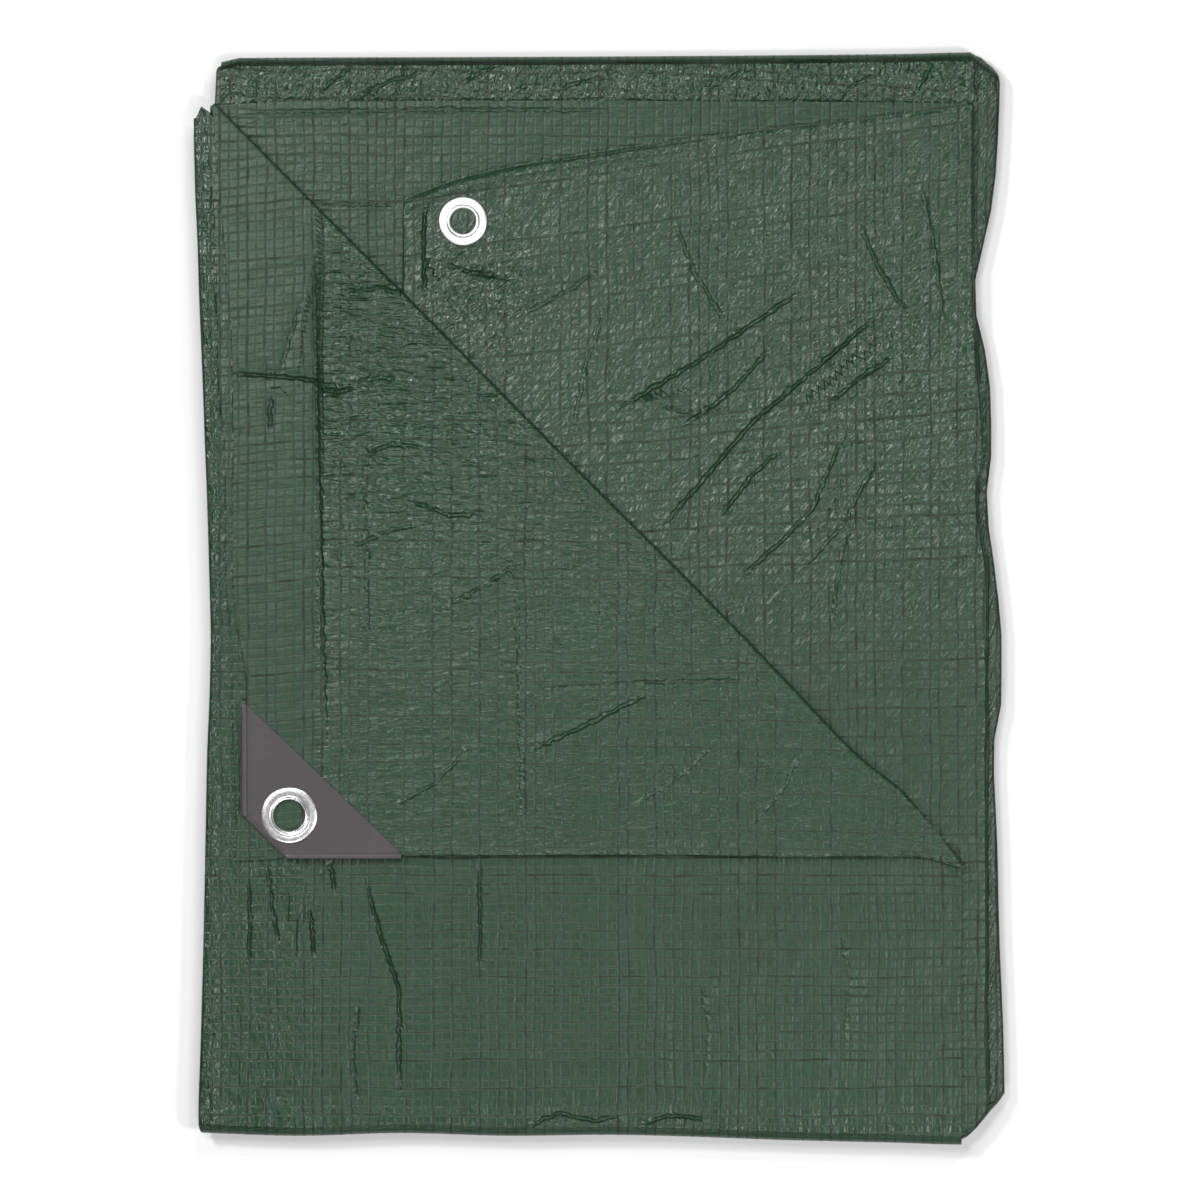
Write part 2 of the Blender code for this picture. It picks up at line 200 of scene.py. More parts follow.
Crease = namedtuple("Crease", "line rise width")
cornerCreases = [
    Crease([(-114.7, 155.2), (-112.6, 60.0), (-109.1, -72.8)], -0.35, 1.6),
    Crease([(-33.9, 24.0), (-30.3, -97.2)], 0.22, 1.8),
    Crease([(-147.9, 89.6), (-128.0, 88.6), (-107.9, 86.4)], -0.6, 1.8),
    Crease([(-118.7, 120.4), (-124.0, 104.0), (-127.9, 88.8)], -0.3, 1.5),
    Crease([(-94.3, 63.0), (-92.7, -17.0)], -0.2, 1.4),
    Crease([(-131.5, 81.2), (-131.9, 66.4)], -0.4, 1.4),
    Crease([(-28.7, -36.8), (20.0, -33.6), (69.7, -32.8)], -0.25, 1.8),
    Crease([(-105.0, 122.0), (-88.0, 124.0), (-76.0, 121.0)], 0.6, 2.2),
    Crease([(-112.0, 84.0), (-104.0, 82.0), (-98.0, 84.5)], 0.7, 1.8),
    Crease([(-98.0, 86.5), (-88.0, 88.0), (-80.0, 87.5)], 0.55, 1.6),
    Crease([(-95.0, 57.0), (-83.0, 61.5), (-70.0, 60.0)], 0.55, 1.8),
    Crease([(-78.0, 40.0), (-60.0, 33.0), (-44.0, 34.0)], 0.5, 2.0),
    Crease([(-100.0, 20.0), (-84.0, 27.0), (-70.0, 30.0)], 0.4, 2.0),
    Crease([(-62.0, -4.0), (-44.0, 6.0), (-30.0, 16.0)], 0.4, 2.0),
    Crease([(-30.0, -62.0), (-8.0, -52.0), (22.1, -36.8)], 0.5, 2.4),
    Crease([(-84.0, -84.0), (-66.0, -74.0), (-50.0, -58.0)], 0.35, 2.0),
    Crease([(12.0, -84.0), (34.0, -70.0), (46.0, -58.0)], 0.3, 2.2),
    Crease([(60.0, -92.0), (74.0, -76.0), (80.0, -62.0)], 0.3, 2.2),
]
secondCreases = [
    Crease([(0.9, 72.0), (40.0, 95.0), (75.3, 119.2), (85.3, 124.4)], 0.6, 2.0),
    Crease([(18.9, 21.2), (61.7, 70.8), (115.7, 116.8)], 0.7, 2.0),
    Crease([(30.1, 66.4), (52.0, 82.0), (70.5, 102.4)], 0.55, 1.9),
    Crease([(48.1, 32.4), (60.0, 48.0), (72.5, 59.6)], 0.6, 1.9),
    Crease([(89.7, 75.6), (104.0, 88.0), (117.7, 96.8)], 0.55, 1.9),
    Crease([(51.7, 3.6), (72.9, 22.8), (85.3, 36.0), (99.7, 70.0)], 0.5, 2.1),
    Crease([(3.7, 119.2), (-6.0, 92.0), (-11.1, 63.2)], 0.3, 1.5),
    Crease([(-33.1, 112.8), (-16.0, 121.0), (0.5, 132.0)], 0.35, 1.6),
    Crease([(-66.3, 134.8), (-50.0, 130.0), (-33.1, 127.2)], -0.35, 1.4),
    Crease([(20.0, 78.0), (36.0, 74.0), (54.0, 76.0)], -0.3, 1.8),
    Crease([(78.0, 8.0), (98.0, 30.0), (112.0, 58.0)], 0.4, 2.2),
    Crease([(92.0, -20.0), (96.0, 14.0), (104.0, 40.0)], 0.3, 2.0),
    Crease([(104.0, 150.0), (112.0, 132.0), (124.0, 112.0)], 0.35, 2.2),
    Crease([(30.0, 152.0), (38.0, 130.0), (52.0, 108.0)], 0.3, 2.0),
    Crease([(-69.0, 160.0), (-70.5, 146.0), (-70.0, 120.0)], -0.5, 1.6),
    Crease([(128.0, 168.0), (134.0, 140.0), (138.0, 108.0)], 0.3, 2.0),
]
frontCreases = [
    Crease([(-95.1, -108.6), (-88.0, -134.0), (-80.3, -156.4), (-80.3, -202.4)], -0.45, 1.8),
    Crease([(-116.5, -123.3), (-115.0, -133.5), (-114.4, -144.4)], -0.5, 1.6),
    Crease([(-108.6, -105.0), (-107.0, -110.0), (-105.9, -118.5)], -0.45, 1.5),
    Crease([(-47.9, -103.0), (-47.9, -150.0)], -0.35, 1.6),
    Crease([(-133.0, -106.0), (-131.0, -124.0), (-128.0, -141.0)], -0.4, 1.8),
    Crease([(-141.0, -110.0), (-139.5, -128.0), (-141.0, -150.0)], -0.35, 1.8),
    Crease([(-30.0, -212.0), (-16.0, -206.0), (-2.0, -209.5), (10.0, -206.0)], 0.5, 2.2),
    Crease([(16.0, -211.0), (28.1, -206.8), (44.0, -209.0)], 0.5, 2.2),
    Crease([(-96.0, -160.0), (-99.0, -180.0), (-97.0, -204.0)], -0.3, 1.8),
    Crease([(40.0, -150.0), (44.0, -172.0), (42.0, -196.0)], 0.2, 2.4),
    Crease([(96.0, -130.0), (100.0, -152.0), (98.0, -180.0)], 0.2, 2.4),
]
thirdCreases = [
    Crease([(-118.7, 157.5), (-78.3, 157.5)], -0.3, 1.4),
    Crease([(-150.0, 194.6), (-60.0, 195.6), (20.0, 195.4)], 0.3, 1.3),
]
backCreases = [
    Crease([(151.0, 218.0), (150.6, 210.0), (151.4, 202.0)], -0.5, 1.6),
    Crease([(-112.0, 203.0), (-104.0, 210.0), (-98.0, 214.0)], 0.5, 1.8),
    Crease([(-96.0, 202.0), (-82.0, 208.0), (-70.0, 210.0)], 0.45, 1.8),
    Crease([(-60.0, 204.0), (-48.0, 210.0), (-40.0, 214.0)], 0.4, 1.8),
    Crease([(126.0, 203.0), (130.0, 208.0), (133.0, 214.0)], 0.6, 2.2),
    Crease([(96.0, 202.0), (104.0, 207.0), (112.0, 210.0)], 0.4, 2.0),
    Crease([(-20.0, 202.0), (-8.0, 207.0), (6.0, 209.0)], 0.35, 1.8),
    Crease([(40.0, 203.0), (52.0, 208.0), (60.0, 213.0)], 0.35, 1.8),
]


def measureCrease(x, y, crease):
    # signed distance to the line, and the crease's force there, faded at its ends
    best = np.full(x.shape, 1e6)
    side = np.zeros(x.shape)
    along = np.zeros(x.shape)
    lengths = [math.dist(a, b) for a, b in zip(crease.line, crease.line[1:])]
    done = 0.0
    for (ax, ay), (bx, by), length in zip(crease.line, crease.line[1:], lengths):
        dx, dy = (bx - ax) / length, (by - ay) / length
        t = np.clip((x - ax) * dx + (y - ay) * dy, 0.0, length)
        away = np.hypot(x - ax - t * dx, y - ay - t * dy)
        nearer = away < best
        across = (x - ax) * dy - (y - ay) * dx
        best = np.where(nearer, away, best)
        side = np.where(nearer, np.where(across < 0, -away, away), side)
        along = np.where(nearer, done + t, along)
        done += length
    share = along / done
    force = ease(share, 0.0, 0.18) * ease(share, 1.0, 0.82)
    return side, best, force


def creaseField(x, y, creases):
    # how far all the creases lift a place, and what the material needs to draw them sharp:
    # three channels of signed distance and force, filled in turn
    lift = np.zeros(x.shape)
    sides = np.full(x.shape + (3,), 20.0)
    forces = np.zeros(x.shape + (3,))
    nearest = np.full(x.shape + (3,), 1e6)
    for index, crease in enumerate(creases):
        side, away, force = measureCrease(x, y, crease)
        uneven = 1.0 + 0.35 * ripple(x, y, 14.0, 3.0 + index)
        lift += crease.rise * force * uneven * np.exp(-(away / crease.width) ** 2)
        channel = index % 3
        nearer = away < nearest[..., channel]
        nearest[..., channel] = np.where(nearer, away, nearest[..., channel])
        sides[..., channel] = np.where(nearer, side, sides[..., channel])
        strength = crease.rise * force * (1 - ease(away, 4.0, 8.0))
        forces[..., channel] = np.where(nearer, strength, forces[..., channel])
    return lift, np.clip(sides, -20, 20), forces


# surfaces: how each ply that shows is wrinkled, and where its film shines

def cornerSurface(x, y):
    lift, sides, forces = creaseField(x, y, cornerCreases)
    band = ease(x, -110.5, -113.5)
    soft = ripple(x * 0.45, y, 9.0, 11.0) * 0.22 + ripple(x * 0.4, y, 4.5, 12.0) * 0.10
    lift = lift + soft * (1 - 0.6 * band)
    away = np.hypot(x + 107.3, y - 97.3)
    # a lower ply's eyelet presses a disc into the corner
    lift += 0.45 * np.exp(-((away - 6.6) / 1.1) ** 2) + 0.25 * (away < 5.4) * (1 - (away / 5.4) ** 2)
    # the pit beside it
    lift -= 0.7 * np.exp(-(np.hypot((x + 133.1) / 1.6, (y - 89.6) / 2.4)) ** 2)
    shine = 0.30 + 0.65 * np.exp(-((x + 78) / 55) ** 2 - ((y - 92) / 55) ** 2) + 0.25 * ease(y, -60, 20)
    shine = shine * (1 - 0.85 * band)
    film = np.stack([x / 9.0 + 0.02 * y, y / 2.6], axis=-1)
    return lift, sides, forces, np.clip(shine, 0, 1), film


def secondSurface(x, y):
    lift, sides, forces = creaseField(x, y, secondCreases)
    along, across = x * 0.70 + y * 0.71, y * 0.70 - x * 0.71
    soft = ripple(along * 0.35, across, 8.0, 21.0) * 0.25 + ripple(x, y * 0.35, 5.0, 22.0) * 0.12
    eyeletCrumple = np.exp(-((x + 48) / 22) ** 2 - ((y - 122) / 24) ** 2)
    soft += ripple(x, y, 3.2, 23.0) * 0.30 * eyeletCrumple
    show = ease(y - cornerFold(x), 1.0, 9.0)
    lift = (lift + soft) * show
    shine = 0.42 + 0.58 * eyeletCrumple + 0.25 * np.exp(-((x - 110) / 40) ** 2 - ((y - 90) / 60) ** 2)
    shine -= 0.25 * ease(y, 40, -60)
    film = np.stack([along / 7.0, across / 2.8], axis=-1)
    return lift, sides, forces, np.clip(shine, 0, 1), film


def frontSurface(x, y):
    lift, sides, forces = creaseField(x, y, frontCreases)
    soft = ripple(x, y * 0.5, 7.0, 31.0) * 0.16 + ripple(x, y, 30.0, 32.0) * 0.25
    soft += ripple(x, y * 0.6, 4.0, 33.0) * 0.22 * ease(x, -105, -125)
    show = np.maximum(ease(y, cloth["panelTop"] - 2, cloth["panelTop"] - 12), ease(x, -150, -156) * 0.5)
    shine = 0.14 + 0.2 * ease(y, -195, -212) + 0.2 * ease(x, -100, -130) + 0.3 * ease(x, -150, -156)
    film = np.stack([x / 2.8, y / 7.0], axis=-1)
    return (lift + soft) * show, sides, forces * show[..., None], np.clip(shine, 0, 1), film


def thirdSurface(x, y):
    lift, sides, forces = creaseField(x, y, thirdCreases)
    soft = ripple(x * 0.5, y, 9.0, 41.0) * 0.15
    show = ease(y, 140, 150)
    shine = 0.2 + 0 * x
    film = np.stack([x / 8.0, y / 2.8], axis=-1)
    return (lift + soft) * show, sides, forces, shine, film


def backSurface(x, y):
    lift, sides, forces = creaseField(x, y, backCreases)
    along, across = x * 0.55 + y * 0.83, y * 0.55 - x * 0.83
    soft = ripple(along * 0.4, across, 5.0, 51.0) * 0.30 + ripple(x * 0.5, y, 12.0, 52.0) * 0.2
    show = ease(y, 196, 202)
    shine = 0.35 + 0.5 * show
    film = np.stack([along / 5.0, across / 2.6], axis=-1)
    return (lift + soft) * show, sides, forces, np.clip(shine, 0, 1), film


# the pleated strip, column by column

Column = namedtuple("Column", "layer hold x top fineEnd fineRows blend")


def frontColumns():
    count = round((cloth["freeSide"] + 159.0) / cloth["frontStep"])
    for x in np.linspace(cloth["freeSide"], -156.0, count):
        top = min(float(cornerFold(x)), cloth["frontTop"] + 4.8)
        yield Column(0.0, "front", float(x), top, cloth["panelTop"], 40, 0.0)


def pleat(firstLayer, hold, top, fineEnd, fineRows):
    for step in range(cloth["arcSteps"] + 1):
        angle = math.pi * step / cloth["arcSteps"]
        layer = firstLayer + 0.5 - 0.5 * math.cos(angle)
        yield Column(layer, hold, turn * math.sin(angle), top, fineEnd, fineRows, 0.0)


def secondColumns():
    hidden = [-150.0, -130.0, -112.0, -96.0, -84.0, -79.2]
    for x in hidden:
        top = float(cornerFold(x)) - cloth["underFold"]
        share = float(ease(x, -150.0, -84.0))
        yield Column(1.0, "second", x, top, float(cornerFold(x)) - 8, 90, 1.0 - share)
    count = round((146.0 + 78.3) / cloth["secondStep"])
    for x in np.linspace(-78.3, 146.0, count):
        yield Column(1.0, "second", float(x), float(hem(x)), float(cornerFold(x)) - 8, 90, 0.0)


def thirdColumns():
    count = round((146.0 + 150.0) / cloth["thirdStep"])
    for x in np.linspace(146.0, -150.0, count):
        shown = float(hem(x)) if x > -78.3 else float(cornerFold(x))
        share = 1.0 - float(ease(x, 146.0, 110.0))
        yield Column(2.0, "third", float(x), float(thirdTop(x)), mix(shown - 10, -100.0, share), 90, 0.0)


def mix(a, b, share):
    return a + (b - a) * share


def columnX(column, y, run):
    side = "front" if run == 0 else "back"
    inset = cloth["lowInset"] if run == 2 else 0.0
    left = outline[side + "Left"](y) + inset + turn
    right = outline[side + "Right"](y) - inset - turn
    if column.hold == "leftPleat":
        return left - column.x
    if column.hold == "rightPleat":
        return right + column.x
    if column.hold == "tail":
        return left + (cloth["frontTail"] if run == 0 else cloth["backTail"])
    # plain columns lean with whichever pleat they are near
    toLeft = ease(column.x, -100.0, -156.0)
    toRight = ease(column.x, 70.0, 146.0) if column.hold != "front" else 0.0
    leftRef, rightRef = (-158.0, 148.0)
    x = column.x + toLeft * (left - leftRef) + toRight * (right - rightRef)
    return np.clip(x, left + 0.6, right - 0.6)


def columnPoints(column, heights):
    # every point of one column of the strip round both its folds, with its place on the flat cloth
    layer = column.layer
    plies = cloth["plies"]
    lowRadius = (2 * plies - 1 - 2 * layer) * pitch / 2
    highRadius = (0.5 + layer) * pitch
    runZ = [
        frontZ - layer * pitch,
        frontZ - (2 * plies - 1 - layer) * pitch,
        frontZ - (2 * plies + layer) * pitch,
    ]
    lowest, highest = stations[-1].y, stations[0].y
    turnDrop = (2 * plies - 1) * pitch / 2
    lowTurn = [float(bottomFold(columnX(column, lowest, run))) + turnDrop for run in range(3)]
    highTurn = [float(topFold(columnX(column, highest, run))) - (plies - 0.5) * pitch for run in range(3)]
    lowTurn[2] += cloth["lowShort"]
    x, y, z, v = [], [], [], []

    def add(newX, newY, newZ, newV):
        x.append(newX)
        y.append(newY)
        z.append(newZ)
        v.append(newV)

    ys = heights(column, lowTurn[0])
    add(columnX(column, ys, 0), ys, np.full(ys.shape, runZ[0]), ys)
    flat = lowTurn[0]
    for run, count, radius in ((1, cloth["backRows"], lowRadius), (2, cloth["lowRows"], highRadius)):
        start = lowTurn if run == 1 else highTurn
        end = highTurn if run == 1 else lowTurn
        down = -1.0 if run == 1 else 1.0
        share = np.arange(1, cloth["arcSteps"]) / cloth["arcSteps"]
        angle = math.pi * share
        fromX, toX = columnX(column, start[run - 1], run - 1), columnX(column, start[run], run)
        middleZ = (runZ[run - 1] + runZ[run]) / 2
        add(mix(fromX, toX, share), mix(start[run - 1], start[run], share) + down * radius * np.sin(angle),
            middleZ + radius * np.cos(angle), flat - radius * angle)
        flat -= math.pi * radius
        if run == 1:
            index = np.arange(count + 1)
            ys = np.interp(index, [0, count * 0.62, count], [start[run], max(188.0, start[run]), end[run]])
        else:
            ys = np.linspace(start[run], end[run], count + 1)
        add(columnX(column, ys, run), ys, np.full(ys.shape, runZ[run]), flat - abs(ys - start[run]))
        flat -= abs(end[run] - start[run])
    return [np.concatenate(part) for part in (x, y, z, v)]


def frontHeights(column, low):
    index = np.arange(cloth["frontRows"] + 1)
    fine = np.interp(index, [0, column.fineRows, cloth["frontRows"]],
                     [column.top, min(column.fineEnd, column.top), low])
    if column.blend == 0.0:
        return fine
    plain = np.interp(index, [0, 40, cloth["frontRows"]],
                      [column.top, min(cloth["panelTop"], column.top), low])
    return mix(fine, plain, column.blend)


# where each ply starts on the flat cloth, counted across it from the middle of the front one
secondStart = -330.0
thirdStart = -640.0


def weaveSlant(x, y):
    # the second ply's tapes climb with its hem, less so further down
    return (0.02 + 0.12 * ease(y, -40, 170)) * (x - hemSpots[0][0])


def stripGrid():
    columns = list(frontColumns())
    columns += pleat(0, "leftPleat", cloth["frontTop"], cloth["panelTop"], 40)
    columns += secondColumns()
    columns += pleat(1, "rightPleat", hemSpots[-1][1], -100.0, 90)
    columns += thirdColumns()
    columns.append(Column(2.0, "tail", 0.0, float(thirdTop(-156.8)), 180.0, 90, 0.0))
    points = [columnPoints(column, frontHeights) for column in columns]
    x, y, z, v = [np.array([part[i] for part in points]) for i in range(4)]
    layer = np.array([column.layer for column in columns])[:, None] + 0 * x
    frontCount = cloth["frontRows"] + 1
    run = np.zeros(x.shape)
    run[:, frontCount:] = 1.0
    run[:, frontCount + cloth["arcSteps"] + cloth["backRows"]:] = 2.0

    # place on the flat cloth: across it the plies count on from one another
    across = np.where(layer < 0.5, x, np.where(layer < 1.5, secondStart - x, x + thirdStart))
    v = np.where((layer > 0.5) & (layer < 1.5) & (run == 0), v - weaveSlant(x, y), v)

    fields = [np.zeros(x.shape), np.full(x.shape + (3,), 20.0), np.zeros(x.shape + (3,)),
              np.full(x.shape, 0.2), np.stack([x / 3.0, y / 6.0], axis=-1)]
    masks = [
        ((run == 0) & (layer == 0), frontSurface),
        ((run == 0) & (layer == 1) & (x > -79), secondSurface),
        ((run == 0) & (layer == 2), thirdSurface),
        ((run == 1) & (layer == 2), backSurface),
    ]
    for mask, surface in masks:
        found = surface(x[mask], y[mask])
        for field, value in zip(fields, found):
            field[mask] = value
    lift, sides, forces, shine, film = fields
    z = z * swelling(x, y) + lift
    return {"place": np.stack([x, y, z], axis=-1), "flat": np.stack([across, v], axis=-1), "film": film,
            "sides": sides, "forces": forces, "shine": shine}


# sheets from grids

def gridFaces(rows, columns, start):
    index = np.arange(rows * columns).reshape(rows, columns) + start
    corners = [index[:-1, :-1], index[1:, :-1], index[1:, 1:], index[:-1, 1:]]
    return np.stack([corner.ravel() for corner in corners], axis=1)


def sheetFrom(name, grids, material, thickness):
    places, faces, values = [], [], {"flat": [], "film": [], "sides": [], "forces": [], "shine": []}
    start = 0
    for grid in grids:
        rows, columns = grid["place"].shape[:2]
        places.append(grid["place"].reshape(-1, 3) * mm)
        faces.append(gridFaces(rows, columns, start))
        for key, parts in values.items():
            parts.append(grid[key].reshape(rows * columns, -1))
        start += rows * columns
    mesh = bpy.data.meshes.new(name)
    mesh.from_pydata(np.concatenate(places).tolist(), [], np.concatenate(faces).tolist())
    corner = np.zeros(len(mesh.loops), dtype=np.int32)
    mesh.loops.foreach_get("vertex_index", corner)
    for mapName, key, scale in (("clothMap", "flat", mm), ("filmMap", "film", 1.0)):
        flat = np.concatenate(values[key])[corner] * scale
        mesh.uv_layers.new(name=mapName).data.foreach_set("uv", flat.astype(np.float32).ravel())
    for attributeName, key, kind, field in (
        ("creaseSide", "sides", "FLOAT_VECTOR", "vector"),
        ("creaseForce", "forces", "FLOAT_VECTOR", "vector"),
        ("shine", "shine", "FLOAT", "value"),
    ):
        attribute = mesh.attributes.new(attributeName, kind, "POINT")
        attribute.data.foreach_set(field, np.concatenate(values[key]).astype(np.float32).ravel())
    joined = bmesh.new()
    joined.from_mesh(mesh)
    bmesh.ops.remove_doubles(joined, verts=joined.verts, dist=0.02 * mm)
    bmesh.ops.dissolve_degenerate(joined, edges=joined.edges, dist=0.01 * mm)
    bmesh.ops.recalc_face_normals(joined, faces=joined.faces)
    joined.to_mesh(mesh)
    joined.free()
    mesh.materials.append(material)
    sheet = bpy.data.objects.new(name, mesh)
    bpy.context.scene.collection.objects.link(sheet)
    body = sheet.modifiers.new("thickness", "SOLIDIFY")
    body.thickness = thickness * mm
    body.offset = 0.0
    bpy.ops.object.select_all(action="DESELECT")
    sheet.select_set(True)
    bpy.context.view_layer.objects.active = sheet
    bpy.ops.object.modifier_apply(modifier=body.name)
    bpy.ops.object.shade_smooth_by_angle(angle=math.radians(50))
    print(name, "has", len(sheet.data.polygons) * 2, "triangles")
    return sheet


# the turned corner: over the diagonal, its foot rolled under, and the ply it rolls to

corner = {
    "rows": 150,
    "across": 104,
    "foldSteps": 8,
    "rollSteps": 7,
    "liningRows": 60,
    "liningInset": 6.0,
    "outX": 0.712,       # square to the diagonal
    "outY": 0.702,
    "footReach": 30.0,   # rows near the foot bend to its line
}


def plainFields(x, y, film):
    return {"sides": np.full(x.shape + (3,), 20.0), "forces": np.zeros(x.shape + (3,)),
            "shine": np.full(x.shape, 0.25), "film": film}


def cornerGrid():
    foldY = np.linspace(cornerSpots[-1][1], cornerSpots[0][1], corner["rows"] + 1)
    byHeight = smoothReader([(y, x) for x, y in cornerSpots])
    foldX = byHeight(foldY)
    angle = math.pi * np.arange(corner["foldSteps"]) / corner["foldSteps"]
    arcX = foldX[:, None] + corner["outX"] * pitch * np.sin(angle)
    arcY = foldY[:, None] + corner["outY"] * pitch * np.sin(angle)
    arcZ = frontZ + pitch * (1 - np.cos(angle)) + 0 * arcX

    share = np.linspace(0, 1, corner["across"] + 1)
    edgeX = cornerEdge(foldY)
    edgeX = np.where(foldY < -103.6, -123.4, edgeX)
    x = foldX[:, None] + (edgeX - foldX)[:, None] * share
    lowest = cornerSpots[-1][1]
    fade = np.clip(1 - (foldY - lowest) / corner["footReach"], 0, 1)[:, None]
    y = foldY[:, None] + (cornerFoot(x) - lowest) * fade
    lift, sides, forces, shine, film = cornerSurface(x, y)
    inside = ease(share, 0.0, 0.05) * (1 - 0.6 * ease(share, 0.97, 1.0))
    foot = ease(y - cornerFoot(x), 0.0, 5.0)
    lift = lift * inside * foot
    # the foot's roll stands a little proud
    lift = lift + 0.35 * np.exp(-((y - cornerFoot(x) - 1.5) / 2.0) ** 2) * ease(x, 120, 90)
    z = flapZ * np.ones(x.shape)
    x, y, z = [np.concatenate(pair, axis=1) for pair in ((arcX, x), (arcY, y), (arcZ, z))]
    pad = corner["foldSteps"]
    padded = []
    for field in (lift, sides, forces, shine, film):
        first = np.repeat(field[:, :1], pad, axis=1)
        padded.append(np.concatenate((first, field), axis=1))
    lift, sides, forces, shine, film = padded
    place = np.stack([x, y, z * swelling(x, y) + lift], axis=-1)
    flat = np.stack([x, y + 0.10 * np.maximum(-105.0 - x, 0) + 0.012 * x], axis=-1)
    return {"place": place, "flat": flat, "film": film, "sides": sides, "forces": forces, "shine": shine}


def rollGrid(flap):
    foot = flap["place"][0, corner["foldSteps"] + 1:]
    steps = math.pi * np.arange(corner["rollSteps"] + 1) / corner["rollSteps"]
    x = np.repeat(foot[:, 0][:, None], len(steps), axis=1)
    y = foot[:, 1][:, None] - turn * np.sin(steps)
    top = foot[:, 2][:, None]
    low = liningZ * swelling(x, y)
    z = mix(top, low, 0.5 - 0.5 * np.cos(steps))
    place = np.stack([x, y, z], axis=-1)
    flat = np.stack([x, y - turn * steps], axis=-1)
    grid = {"place": place, "flat": flat}
    grid.update(plainFields(x, y, np.stack([x / 9.0, y / 2.6], axis=-1)))
    grid["shine"][:] = 0.5
    return grid


def liningGrid(flap):
    foot = flap["place"][0, corner["foldSteps"] + 1:][::-1]
    share = np.linspace(0, 1, corner["liningRows"] + 1)
    edgeY = mix(-105.4, 195.2, share)
    edge = np.stack([liningEdge(edgeY), edgeY], axis=-1)
    first = np.stack([np.full(share.shape, foot[0, 0]), mix(foot[0, 1], float(cornerFold(foot[0, 0]))
                      - corner["liningInset"], share)], axis=-1)
    lines = [mix(edge, first, part) for part in (0.0, 0.12, 0.3, 0.6)]
    for x, y, _ in foot:
        top = float(cornerFold(x)) - corner["liningInset"]
        lines.append(np.stack([np.full(share.shape, x), mix(y, top, share)], axis=-1))
    flatPlace = np.array(lines)
    x, y = flatPlace[..., 0], flatPlace[..., 1]
    z = liningZ * swelling(x, y)
    z = z + 0.25 * ripple(x, y * 0.3, 8.0, 61.0) * ease(x, -143, -149)
    grid = {"place": np.stack([x, y, z], axis=-1), "flat": flatPlace}
    grid.update(plainFields(x, y, np.stack([x / 2.6, y / 9.0], axis=-1)))
    return grid


# the hem strip along the second ply's loose edge

hemStrip = {
    "width": 37.0,
    "inset": 0.6,
    "rows": 22,
    "columns": 110,
    "sheet": 0.35,
    "seat": 0.55,        # its middle over the second ply's middle
    "ropeRise": 1.3,
    "ropeReach": 5.5,
}


def hemStripGrid():
    ends = (hemSpots[0][0] + hemStrip["inset"], hemSpots[-1][0] - hemStrip["inset"])
    x = np.linspace(*ends, hemStrip["columns"] + 1)
    down = hemStrip["width"] * np.linspace(0, 1, hemStrip["rows"] + 1) ** 1.25
    x = np.repeat(x[:, None], len(down), axis=1)
    y = hem(x) - hemStrip["inset"] - down
    lift, sides, forces, shine, film = secondSurface(x, y)
    rope = hemStrip["ropeRise"] * (1 - 0.75 * ease(x, 0, 50)) * np.exp(-((down - 3.0) / 1.9) ** 2)
    lower = -0.5 * ease(down, 1.4, 0.0)
    z = (secondZ + hemStrip["seat"]) * swelling(x, y) + lift + rope + lower - 0.12 * ease(down, 33, 37)
    flat = np.stack([secondStart - x, y - weaveSlant(x, y)], axis=-1)
    return {"place": np.stack([x, y, z], axis=-1), "flat": flat, "film": film,
            "sides": sides, "forces": forces, "shine": shine}


# eyelets, drawn out ring by ring

Eyelet = namedtuple("Eyelet", "name slot x y seat profile")
# profile: radius and height over the seat, from the bore's foot up and out to the flange's lip
cornerEyelet = Eyelet("corner_eyelet_turned", "corner_eyelet_metal", -124.1, -86.9, 15.05, [
    (6.1, -1.3), (6.1, 0.6), (6.2, 1.0), (6.5, 1.3), (6.9, 1.3), (7.15, 1.1), (7.3, 0.75), (7.5, 0.75),
    (7.8, 0.95), (8.2, 0.95), (8.4, 0.75), (8.7, 0.75), (9.2, 0.85), (10.6, 0.7), (11.2, 0.5), (11.5, 0.15),
    (11.4, 0.0), (7.0, 0.0), (7.0, -1.3),
])
edgeEyelet = Eyelet("edge_eyelet_turned", "edge_eyelet_metal", -54.7, 150.8, 10.8, [
    (5.05, -1.2), (5.05, 0.9), (5.2, 1.3), (5.6, 1.6), (6.1, 1.6), (6.5, 1.3), (6.7, 0.85), (7.0, 0.75),
    (8.6, 0.75), (9.3, 0.65), (9.7, 0.4), (9.8, 0.15), (9.7, 0.0), (5.8, 0.0), (5.8, -1.2),
])


def makeEyelet(eyelet, material):
    seat = eyelet.seat * float(swelling(eyelet.x, eyelet.y))
    centre = (eyelet.x * mm, eyelet.y * mm)
    radius, height = eyelet.profile[0]
    bpy.ops.object.select_all(action="DESELECT")
    middle = (*centre, (seat + height) * mm)
    bpy.ops.mesh.primitive_circle_add(vertices=72, radius=radius * mm, location=middle)
    ring = bpy.context.object
    ring.name = eyelet.name
    bpy.ops.object.transform_apply(location=True, rotation=True, scale=True)
    bpy.ops.object.mode_set(mode="EDIT")
    bpy.ops.mesh.select_all(action="SELECT")
    for nextRadius, nextHeight in eyelet.profile[1:] + eyelet.profile[:1]:
        bpy.ops.mesh.extrude_edges_move(TRANSFORM_OT_translate={"value": (0, 0, (nextHeight - height) * mm)})
        factor = nextRadius / radius
        middle = (*centre, (seat + nextHeight) * mm)
        bpy.ops.transform.resize(value=(factor, factor, 1), center_override=middle)
        radius, height = nextRadius, nextHeight
    bpy.ops.mesh.select_all(action="SELECT")
    bpy.ops.mesh.remove_doubles(threshold=0.01 * mm)
    bpy.ops.mesh.normals_make_consistent(inside=False)
    bpy.ops.object.mode_set(mode="OBJECT")
    bpy.ops.object.shade_smooth_by_angle(angle=math.radians(40))
    ring.data.materials.append(material)
    return ring


